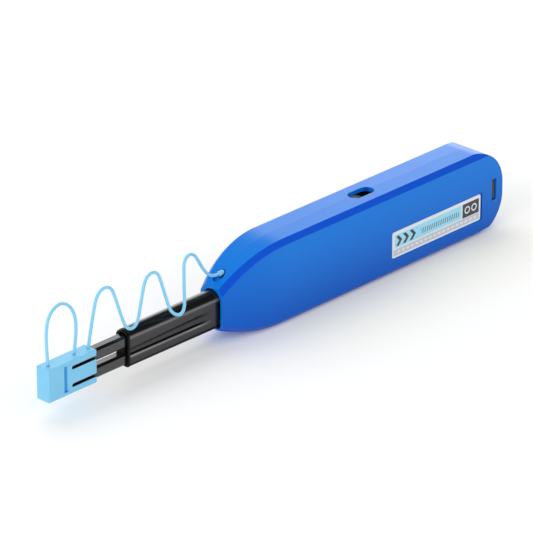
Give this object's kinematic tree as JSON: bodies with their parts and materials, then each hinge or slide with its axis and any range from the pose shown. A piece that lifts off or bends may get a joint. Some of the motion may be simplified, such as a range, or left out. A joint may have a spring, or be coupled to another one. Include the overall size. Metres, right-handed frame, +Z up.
{
  "type": "fibre connector cleaning pen",
  "caption": "Push-action fibre connector cleaner: tapered moulded case, sliding duplex nozzle, pull-off guide cap on a cord tether, and geared reels of cleaning tape inside.",
  "frame": {"origin": "under the middle of the pen, on the flat of the case that it stands on", "axes": "+X along the pen towards the nozzle and cap, +Y towards the labelled side, +Z up towards the window"},
  "size_m": [0.2142, 0.0164, 0.038],
  "materials": {
    "blue_shell": "satin moulded, mid blue",
    "label_film": "matt printed film",
    "black_plastic": "satin black",
    "bar_plastic": "satin dark grey",
    "cap_plastic": "satin light blue",
    "frame_plastic": "matt charcoal",
    "reel_plastic": "matt natural",
    "gear_plastic": "matt acetal",
    "tape_cloth": "fine woven cleaning tape",
    "used_tape_cloth": "fine woven cleaning tape, used",
    "steel": "bright steel",
    "tip_plastic": "polished",
    "cord_fibre": "light blue round cord"
  },
  "bodies": {
    "case": {"case_left": "blue_shell", "case_right": "blue_shell", "label": "label_film", "rear_stop": "black_plastic", "drive_rack": "gear_plastic", "return_spring": "steel", "tether_cord": "cord_fibre", "cord_knot": "cord_fibre"},
    "carriage": {"nozzle_sleeve": "black_plastic", "nozzle_bars": "bar_plastic", "carriage_left": "frame_plastic", "carriage_right": "frame_plastic", "carriage_screws": "steel", "supply_pin": "steel", "take_up_pin": "steel", "guide_pin": "steel", "feed_tapes": "tape_cloth", "return_tapes": "used_tape_cloth", "ratchet_pawl": "steel", "brake_leaf": "steel", "spring_guide": "frame_plastic", "tip_spring_lower": "steel", "tip_spring_upper": "steel"},
    "supply": {"supply_reel": "reel_plastic", "supply_tape_left": "tape_cloth", "supply_tape_right": "tape_cloth"},
    "take_up": {"take_up_reel": "reel_plastic", "used_tape_left": "used_tape_cloth", "used_tape_right": "used_tape_cloth", "ratchet_wheel": "gear_plastic"},
    "pinion": {"drive_pinion": "gear_plastic"},
    "tip_lower": {"cleaning_tip_lower": "tip_plastic"},
    "tip_upper": {"cleaning_tip_upper": "tip_plastic"},
    "cap": {"guide_cap": "cap_plastic", "pull_loop": "cord_fibre"}
  },
  "joints": [
    {"name": "push_slide", "type": "slide", "parent": "case", "child": "carriage", "axis": [-1, 0, 0], "range_m": [0, 0.011], "stiffness_N_per_m": 500, "springref_m": -0.01, "deforming": ["return_spring", "tether_cord"]},
    {"name": "pinion_spin", "type": "hinge", "parent": "carriage", "child": "pinion", "pos_m": [-0.0661, 0, 0.01525], "axis": [0, -1, 0], "range_deg": [0, 98.5]},
    {"name": "take_up_spin", "type": "hinge", "parent": "carriage", "child": "take_up", "pos_m": [-0.0661, 0, 0.01525], "axis": [0, -1, 0], "range_deg": [0, 98.5]},
    {"name": "supply_spin", "type": "hinge", "parent": "carriage", "child": "supply", "pos_m": [-0.0431, 0, 0.017], "axis": [0, 1, 0], "range_deg": [0, 50]},
    {"name": "tip_lower_float", "type": "slide", "parent": "carriage", "child": "tip_lower", "axis": [-1, 0, 0], "range_m": [0, 0.0012], "stiffness_N_per_m": 400, "springref_m": -0.001, "deforming": ["tip_spring_lower"]},
    {"name": "tip_upper_float", "type": "slide", "parent": "carriage", "child": "tip_upper", "axis": [-1, 0, 0], "range_m": [0, 0.0012], "stiffness_N_per_m": 400, "springref_m": -0.001, "deforming": ["tip_spring_upper"]},
    {"name": "cap_slide", "type": "slide", "parent": "carriage", "child": "cap", "axis": [1, 0, 0], "range_m": [0, 0.025], "deforming": ["tether_cord"]}
  ],
  "couplings": [
    {"joint": "pinion_spin", "follows": "push_slide", "rad_per_m": 156.25},
    {"joint": "take_up_spin", "follows": "push_slide", "rad_per_m": 156.25},
    {"joint": "supply_spin", "follows": "push_slide", "rad_per_m": 78.914}
  ]
}
